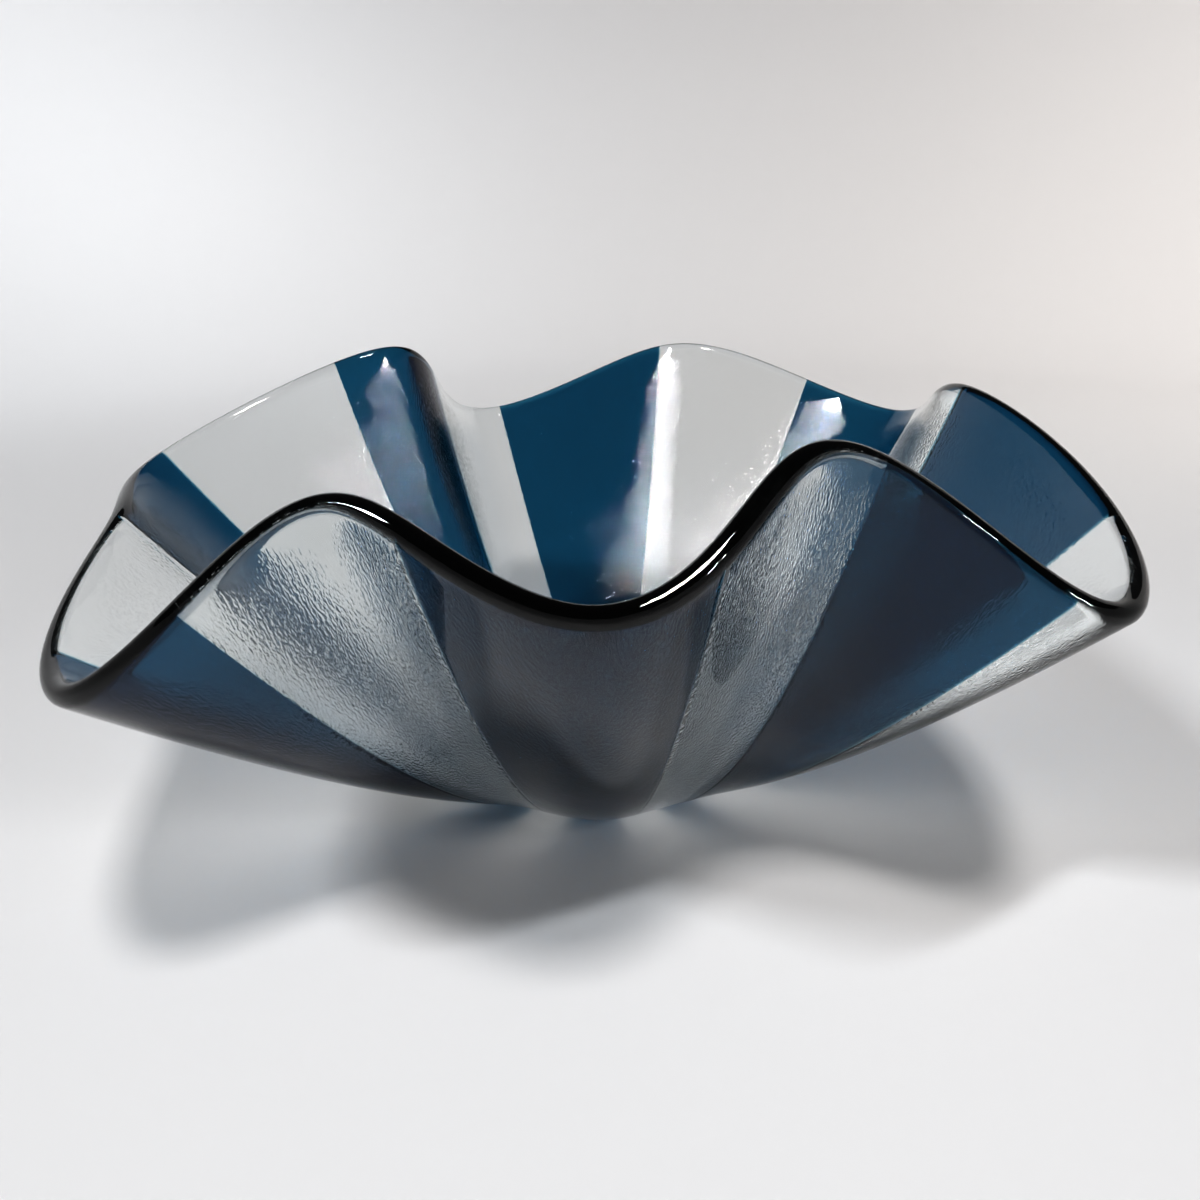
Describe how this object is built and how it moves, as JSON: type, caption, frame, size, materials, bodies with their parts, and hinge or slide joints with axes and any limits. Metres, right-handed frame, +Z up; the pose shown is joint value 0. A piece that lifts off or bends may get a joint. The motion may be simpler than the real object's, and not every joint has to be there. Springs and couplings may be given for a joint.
{
  "type": "fluted glass bowl",
  "caption": "Fluted kiln-formed glass bowl: a clear inner disc fused to a ring of blue and clear gores, draped into soft lobes, standing on a small flat foot.",
  "frame": {"origin": "on the surface that the bowl stands on, under the middle of its outline", "axes": "+Z up out of the bowl's mouth, -Y toward the front blue gore, +X to the right of it"},
  "size_m": [0.2894, 0.3026, 0.1402],
  "materials": {
    "clear_glass_inner": "clear, with a fine ripple on its inside face",
    "blue_glass": "deep steel blue, transparent, fire polished",
    "clear_glass": "clear, fire polished"
  },
  "bodies": {
    "root": {"clear_base_disc": "clear_glass_inner", "blue_gore_1": "blue_glass", "blue_gore_2": "blue_glass", "blue_gore_3": "blue_glass", "blue_gore_4": "blue_glass", "blue_gore_5": "blue_glass", "blue_gore_6": "blue_glass", "blue_gore_7": "blue_glass", "blue_gore_8": "blue_glass", "clear_gore_1": "clear_glass", "clear_gore_2": "clear_glass", "clear_gore_3": "clear_glass", "clear_gore_4": "clear_glass", "clear_gore_5": "clear_glass", "clear_gore_6": "clear_glass", "clear_gore_7": "clear_glass", "clear_gore_8": "clear_glass"}
  },
  "joints": []
}
